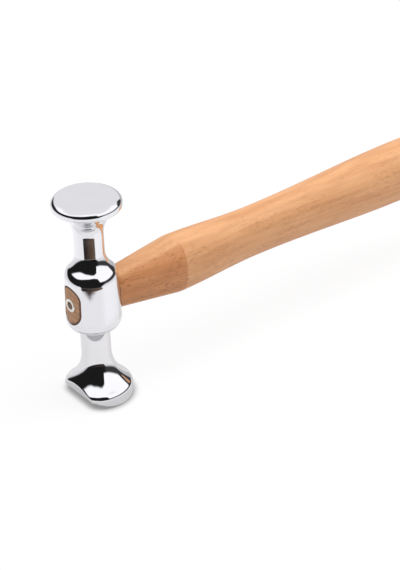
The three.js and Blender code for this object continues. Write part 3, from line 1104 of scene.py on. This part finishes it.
def make_beech():
    """Steamed beech: straight soft grain with short dark rays, and browner end grain."""
    material, nodes, shader = new_material("beech")
    texture = nodes.add("ShaderNodeTexCoord").outputs
    place = texture["Object"]
    facing = nodes.parts(texture["Normal"])
    endwise = nodes.soft(nodes.math("ABSOLUTE", facing["X"]), *END_GRAIN_EDGES)
    sidewise = nodes.math("ABSOLUTE", facing["Y"])
    parts = nodes.parts(place)
    wandering = nodes.drift(place, GRAIN_DRIFT_SCALE, GRAIN_DRIFT)

    fibres = nodes.noise(nodes.stretch(wandering, FIBRE_STRETCH), *FIBRE_NOISE)
    tint = nodes.mix(nodes.fade(wandering, *STREAK_FADE), BEECH_DEEP, BEECH_PALE)
    rings = nodes.add("ShaderNodeTexWave", wave_type="RINGS", rings_direction="X")
    nodes.join(nodes.stretch(wandering, RING_STRETCH, BEECH_HEART), rings.inputs["Vector"])
    for name, value in RING_WAVE:
        rings.inputs[name].default_value = value
    late = nodes.soft(rings.outputs["Fac"], *LATE_EDGES)
    tint = nodes.mix(nodes.times(late, LATE_SHARE), tint, BEECH_LATE)
    thread = nodes.times(nodes.soft(fibres, *FIBRE_EDGES), FIBRE_SHARE)
    tint = nodes.mix(thread, tint, BEECH_DEEP)

    # Rays: short dark lines, plainest on the sides and on the taper
    rays = nodes.times(nodes.fade(wandering, *RAY_FADE), nodes.fade(place, *CROWD_FADE))
    taper = nodes.soft(parts["X"], *edges_past(SHOULDER_DISTANCE, TAPER_EDGES))
    strength = nodes.times_add(sidewise, RAY_SHARE_SIDEWISE, RAY_SHARE)
    strength = nodes.times_add(taper, RAY_SHARE_TAPER, strength)
    ray_share = nodes.times(rays, strength)
    tint = nodes.mix(ray_share, tint, BEECH_RAY)

    # Painted shade: the sides of the taper are a shade darker and browner than the rest
    side_shade = nodes.times(taper, nodes.soft(sidewise, *SIDE_SHADE_EDGES))
    tint = nodes.mix(side_shade, tint, TAPER_SIDE_SHADE, "MULTIPLY")

    # End grain: arcs of the rings crossed by rays, fainter on the sanded butt
    tenon = nodes.math("LESS_THAN", parts["X"], 0.0)
    plain = nodes.times_add(tenon, END_GRAIN_SHARE_TENON, END_GRAIN_SHARE)
    end_rays = nodes.math("SUBTRACT", nodes.fade(place, *END_RAY_FADE), 0.5)
    end_rays = nodes.times_add(end_rays, nodes.times(plain, END_RAY_CONTRAST), 0.5)
    end_tint = nodes.mix(end_rays, END_GRAIN_DEEP, END_GRAIN_PALE)
    end_tint = nodes.mix(nodes.times(late, plain), end_tint, END_GRAIN_LATE)

    # On the tenon it is dark inside the ring, and painted shade of the gap darkens it where it
    # meets the eye
    tenon_darkening = nodes.times(tenon, TENON_DARKENING_SHARE)
    rise = nodes.math("ADD", parts["Z"], (HEAD_HEIGHT - EYE_CENTRE) * MM)
    square = nodes.times(parts["Y"], parts["Y"])
    core = nodes.soft(nodes.length(rise, square), *edges_past(WEDGE_BORE_RADIUS, CORE_EDGES))
    end_tint = nodes.mix(nodes.times(core, tenon_darkening), end_tint, END_GRAIN_CORE)
    cheek = (EYE_HEIGHT - EYE_WIDTH) / 2 * MM
    above = nodes.math("SUBTRACT", nodes.math("ABSOLUTE", rise), cheek)
    above = nodes.math("MAXIMUM", above, 0.0)
    rim = nodes.soft(nodes.length(above, square), *edges_past(EYE_WIDTH / 2, RIM_EDGES))
    end_tint = nodes.mix(nodes.times(rim, tenon_darkening), end_tint, END_GRAIN_GAP_SHADE)
    nodes.join(nodes.mix(endwise, tint, end_tint), shader.inputs["Base Color"])

    rough = nodes.times_add(fibres, BEECH_ROUGH_FIBRES, BEECH_ROUGH)
    rough = nodes.times_add(ray_share, BEECH_ROUGH_RAYS, rough)
    rough = nodes.times_add(endwise, BEECH_ROUGH_END, rough)
    nodes.join(rough, shader.inputs["Roughness"])
    nodes.bump(nodes.times_add(ray_share, RAY_HEIGHT, fibres), *BEECH_BUMP, shader)
    return material


def make_steel():
    """Bright turned steel with fine scratches."""
    material, nodes, shader = new_material("bright_steel")
    place = nodes.add("ShaderNodeTexCoord").outputs["Object"]
    tint = nodes.mix(nodes.noise(place, *STEEL_CLOUD), *STEEL_TINTS)
    nodes.join(tint, shader.inputs["Base Color"])
    shader.inputs["Metallic"].default_value = 1.0
    scratches = nodes.noise(nodes.stretch(place, SCRATCH_STRETCH), SCRATCH_SCALE)
    rough = nodes.times_add(scratches, STEEL_ROUGH_SPREAD, STEEL_ROUGH)
    nodes.join(rough, shader.inputs["Roughness"])
    nodes.bump(scratches, *STEEL_BUMP, shader)
    return material


# Stage: floor, cards, world, lamps and camera

FLOOR_SIZE = 12.0
FLOOR_BELOW = 0.0001
FLOOR_GLOW_SEEN = 0.84
FLOOR_GLOW_MIRRORED = 0.38
FLOOR_BOUNCE = (0.72, 0.72, 0.72, 1)
NEAR_FLOOR = (0.1, 0.115)
# Painted shade on the ground nearest the hammer, for mirrored rays and bounced light: its
# distances from the axis and its grey
NEAREST_FLOOR = (0.022, 0.05)
NEAREST_SHADE = (0.82, 0.82, 0.83, 1)
CONTACT_REACH = 0.006
CONTACT_OPEN = 0.97
CONTACT_CLOSED = 0.3
CONTACT_DEPTH = 0.68
CONTACT_SAMPLES = 16
WHITE = (1, 1, 1, 1)
BLACK = (0, 0, 0, 1)
COOLNESS = 1.025

# A patch of the floor that only mirrored rays see: near and far edges as distances from the
# head's axis, bearings of its sides in degrees, its tip's bearing, and how much further off
# the near edge is for each degree from the tip
BROWN_PATCH = (0.145, 0.199, -40, 45)
BROWN_PATCH_TIP = -8
BROWN_PATCH_SLANT = 0.00042
BROWN_PATCH_NEAR_BLUR = (-0.005, 0.009)
BROWN_PATCH_FAR_BLUR = 0.002
BROWN_PATCH_SIDE_BLUR = 3
BROWN_PATCH_LEFT = (0.02, 0.018, 0.018, 1)
BROWN_PATCH_RIGHT = (0.13, 0.08, 0.055, 1)

# Cards round the lower neck that only mirrored rays see, in millimetres: level, near edge at
# its middle, how much further off the near edge's ends are, far edge, and bearings of its
# ends. The pale one keeps the grey one out of the barrel's foot.
GREY_CARD = (27.0, 28.4, 5.5, 40.0, -74, 82)
GREY_CARD_COLOUR = (0.44, 0.44, 0.46, 1)
PALE_CARD = (47.0, 16.5, 0.0, 22.0, -110, 110)
PALE_CARD_COLOUR = (0.86, 0.86, 0.88, 1)
CARD_ROWS = 24

# The studio that mirrored rays see, and that gives part of the ambient light. Places are a
# bearing from the photograph's side, to the right, in degrees, then a rise in degrees or a
# brightness.
AMBIENT_COLOUR = (0.3, 0.3, 0.31, 1)
AMBIENT_FROM_STUDIO = 0.6
CEILING_COLOUR = (0.84, 0.84, 0.86, 1)
CEILING_EDGE = (
    (-180, 62), (-120, 48), (-66, 48), (-36, 60), (0, 72), (36, 66), (70, 50), (120, 48),
    (180, 62),
)
CEILING_BLUR = 5.0
DARK_LOW_EDGE = (
    (-180, 5), (-150, 5), (-126, 2), (-102, -5), (-60, -14), (-46, -15), (-38, -24), (40, -24),
    (48, -13), (60, -7), (126, -7), (150, 10), (180, 5),
)
DARK_HIGH_EDGE = (
    (-180, -20), (-172, -20), (-152, 14), (-125, 26), (-66, 30), (-54, 33), (-30, 43), (6, 50),
    (20, 50), (35, 42), (39, 14), (60, 11), (114, 11), (124, 26), (142, 30), (156, -20),
    (180, -20),
)
EDGE_BLUR = 3.5
# The low floor tone near 150 degrees is a painted shadow of the handle on the floor
FLOOR_TONE = (
    (-180, 1.0), (-110, 0.97), (-40, 0.88), (35, 0.88), (60, 0.98), (90, 0.97), (120, 0.93),
    (150, 0.66), (180, 0.75),
)
FLOOR_DIMMING = 0.22
FLOOR_DIMMING_RISES = (-29.0, -6.0)
ROOM_TONE = ((-180, 0.012), (45, 0.012), (60, 0.045), (180, 0.045))
BOX_TONE = ((-180, 0.82), (-140, 0.82), (-118, 1.1), (118, 1.1), (140, 0.82), (180, 0.82))

# Lamps: name, place, size and power in watts
LAMP_AIM = (0.08, 0, -0.06)
LAMPS = (
    ("overhead", (0.2, -0.1, 1.1), (1.0, 1.0), 8.0),
    ("right_side", (1.0, -0.35, 0.5), (0.8, 0.6), 4.5),
)


def brown_patch(nodes, place, away):
    """Share and glow of the brown patch of floor."""
    side = nodes.bearing(place)
    near, far, left, right = BROWN_PATCH
    blur = BROWN_PATCH_SIDE_BLUR
    off_tip = nodes.math("ABSOLUTE", nodes.math("SUBTRACT", side, turned(BROWN_PATCH_TIP)))
    reached = nodes.times_add(off_tip, -360 * BROWN_PATCH_SLANT, away)
    share = nodes.soft(reached, *[near + edge for edge in BROWN_PATCH_NEAR_BLUR])
    fade = nodes.soft(away, far + BROWN_PATCH_FAR_BLUR, far - BROWN_PATCH_FAR_BLUR)
    share = nodes.times(share, fade)
    share = nodes.times(share, nodes.soft(side, turned(left - blur), turned(left + blur)))
    share = nodes.times(share, nodes.soft(side, turned(right + blur), turned(right - blur)))
    across = nodes.soft(side, turned(left), turned(right))
    return share, nodes.glow(nodes.mix(across, BROWN_PATCH_LEFT, BROWN_PATCH_RIGHT))


def make_floor():
    """White where the camera sees it, but for shadows. Mirrored rays see pale ground near the
    hammer, greyed by painted shade right beside it, go through it further off, and see a brown
    patch there."""
    level = -HEAD_HEIGHT * MM - FLOOR_BELOW
    half = FLOOR_SIZE / 2
    corners = ((-half, -half), (half, -half), (half, half), (-half, half))
    floor = plain_mesh("floor", [(x, y, level) for x, y in corners], [(0, 1, 2, 3)])
    material, nodes = bare_material("white_floor")
    seen, mirrored = nodes.rays()
    place = nodes.add("ShaderNodeTexCoord").outputs["Object"]
    parts = nodes.parts(place)
    away = nodes.length(parts["Y"], nodes.times(parts["X"], parts["X"]))

    contact = nodes.add("ShaderNodeAmbientOcclusion", samples=CONTACT_SAMPLES)
    contact.inputs["Distance"].default_value = CONTACT_REACH
    shade = nodes.soft(contact.outputs["AO"], CONTACT_OPEN, CONTACT_CLOSED)
    shaded = nodes.mix(nodes.times(shade, CONTACT_DEPTH), WHITE, BLACK)
    # Painted shade: the ground nearest the hammer is greyer for mirrored rays and bounced light
    nearest_shade = nodes.mix(nodes.soft(away, *NEAREST_FLOOR), NEAREST_SHADE, WHITE)
    bounced = nodes.mix(1.0, nearest_shade, FLOOR_BOUNCE, "MULTIPLY")
    matt = nodes.add("ShaderNodeBsdfDiffuse")
    nodes.join(nodes.mix(seen, bounced, shaded), matt.inputs["Color"])
    glow = nodes.glow(nodes.mix(seen, nearest_shade, shaded))
    share = nodes.times(seen, FLOOR_GLOW_SEEN)
    share = nodes.times_add(mirrored, FLOOR_GLOW_MIRRORED, share)
    ground = nodes.blend(share, matt.outputs["BSDF"], glow)

    far = nodes.times(mirrored, nodes.soft(away, *NEAR_FLOOR))
    opened = nodes.blend(far, ground, nodes.clear())
    patch_share, patch = brown_patch(nodes, place, away)
    nodes.end(nodes.blend(nodes.times(patch_share, mirrored), opened, patch))
    floor.data.materials.append(material)


def make_card(name, place, colour):
    """A level card that only mirrored rays see, and only from above."""
    level, near, bend, far, left, right = place
    near_edge = []
    far_edge = []
    for share in shares(CARD_ROWS, 0):
        angle = math.radians(CAMERA_AZIMUTH - 90 + left + (right - left) * share)
        near_edge.append(round_point(near + bend * (2 * share - 1) ** 2, angle, level))
        far_edge.append(round_point(far, angle, level))
    faces = []
    for row in range(CARD_ROWS):
        beyond = CARD_ROWS + 1 + row
        faces.append((row, beyond, beyond + 1, row + 1))
    card = plain_mesh(name, near_edge + far_edge, faces)
    material, nodes = bare_material(name)
    back = nodes.add("ShaderNodeNewGeometry").outputs["Backfacing"]
    nodes.end(nodes.blend(back, nodes.glow(colour), nodes.clear()))
    card.data.materials.append(material)
    card.visible_camera = False
    card.visible_diffuse = False
    card.visible_shadow = False


def make_world():
    """White where the camera sees it. Mirrored rays see a studio: pale floor, ceiling and far
    wall, a dark room on the near side, and light boxes over its left and right."""
    world = bpy.data.worlds.new("studio")
    bpy.context.scene.world = world
    world.use_nodes = True
    nodes = Nodes(world.node_tree)
    way = nodes.add("ShaderNodeTexCoord").outputs["Generated"]
    side = nodes.bearing(way)
    rise = nodes.times(nodes.math("ARCSINE", nodes.parts(way)["Z"]), 180 / math.pi)

    def above(edge, blur):
        higher = nodes.math("SUBTRACT", rise, nodes.bend(side, edge))
        return nodes.soft(higher, -blur, blur)

    dimming = nodes.times_add(nodes.soft(rise, *FLOOR_DIMMING_RISES), -FLOOR_DIMMING, 1.0)
    floor = nodes.grey(nodes.times(nodes.bend(side, FLOOR_TONE), dimming))
    room = nodes.grey(nodes.bend(side, ROOM_TONE))
    boxes = nodes.grey(nodes.bend(side, BOX_TONE))
    lit = nodes.mix(above(CEILING_EDGE, CEILING_BLUR), boxes, CEILING_COLOUR)
    not_floor = nodes.mix(above(DARK_HIGH_EDGE, EDGE_BLUR), room, lit)
    studio = nodes.mix(above(DARK_LOW_EDGE, EDGE_BLUR), floor, not_floor)

    seen, mirrored = nodes.rays()
    ambient = nodes.mix(AMBIENT_FROM_STUDIO, AMBIENT_COLOUR, studio)
    background = nodes.add("ShaderNodeBackground")
    colour = nodes.mix(seen, nodes.mix(mirrored, ambient, studio), WHITE)
    nodes.join(colour, background.inputs["Color"])
    nodes.end(background.outputs["Background"], "ShaderNodeOutputWorld")


def make_lamp(name, place, size, power):
    """A soft lamp that nothing mirrors."""
    data = bpy.data.lights.new(name, "AREA")
    data.shape = "RECTANGLE"
    data.size = size[0]
    data.size_y = size[1]
    data.energy = power
    lamp = bpy.data.objects.new(name, data)
    lamp.location = place
    way = Vector(LAMP_AIM) - Vector(place)
    lamp.rotation_euler = way.to_track_quat("-Z", "Y").to_euler()
    lamp.visible_glossy = False
    bpy.context.scene.collection.objects.link(lamp)


def make_camera():
    azimuth = math.radians(CAMERA_AZIMUTH)
    elevation = math.radians(CAMERA_ELEVATION)
    roll = math.radians(CAMERA_ROLL)
    back = Vector((
        math.sin(azimuth) * math.cos(elevation),
        -math.cos(azimuth) * math.cos(elevation),
        math.sin(elevation),
    ))
    level_right = Vector((math.cos(azimuth), math.sin(azimuth), 0))
    level_up = back.cross(level_right)
    right = level_right * math.cos(roll) + level_up * math.sin(roll)
    up = level_up * math.cos(roll) - level_right * math.sin(roll)
    x = (CAMERA_AIM_PIXEL[0] - PICTURE[0] / 2) / CAMERA_FOCAL_PIXELS
    y = (PICTURE[1] / 2 - CAMERA_AIM_PIXEL[1]) / CAMERA_FOCAL_PIXELS
    aim = Vector(standing(0, 0, CAMERA_AIM_LEVEL))
    place = aim - (right * x + up * y - back) * CAMERA_DISTANCE * MM
    data = bpy.data.cameras.new("camera")
    data.sensor_width = SENSOR_MM
    data.lens = CAMERA_FOCAL_PIXELS * SENSOR_MM / max(PICTURE)
    data.clip_start, data.clip_end = CAMERA_CLIP
    camera = bpy.data.objects.new("camera", data)
    matrix = camera.matrix_world.copy()
    for column, vector in enumerate((right, up, back, place)):
        for row in range(3):
            matrix[row][column] = vector[row]
    camera.matrix_world = matrix
    bpy.context.scene.collection.objects.link(camera)
    bpy.context.scene.camera = camera


head.data.materials.append(make_chrome())
handle.data.materials.append(make_beech())
wedge.data.materials.append(make_steel())

make_floor()
make_card("grey_card", GREY_CARD, GREY_CARD_COLOUR)
make_card("pale_card", PALE_CARD, PALE_CARD_COLOUR)
make_world()
for lamp_values in LAMPS:
    make_lamp(*lamp_values)
make_camera()
bpy.context.scene.view_settings.view_transform = "Standard"
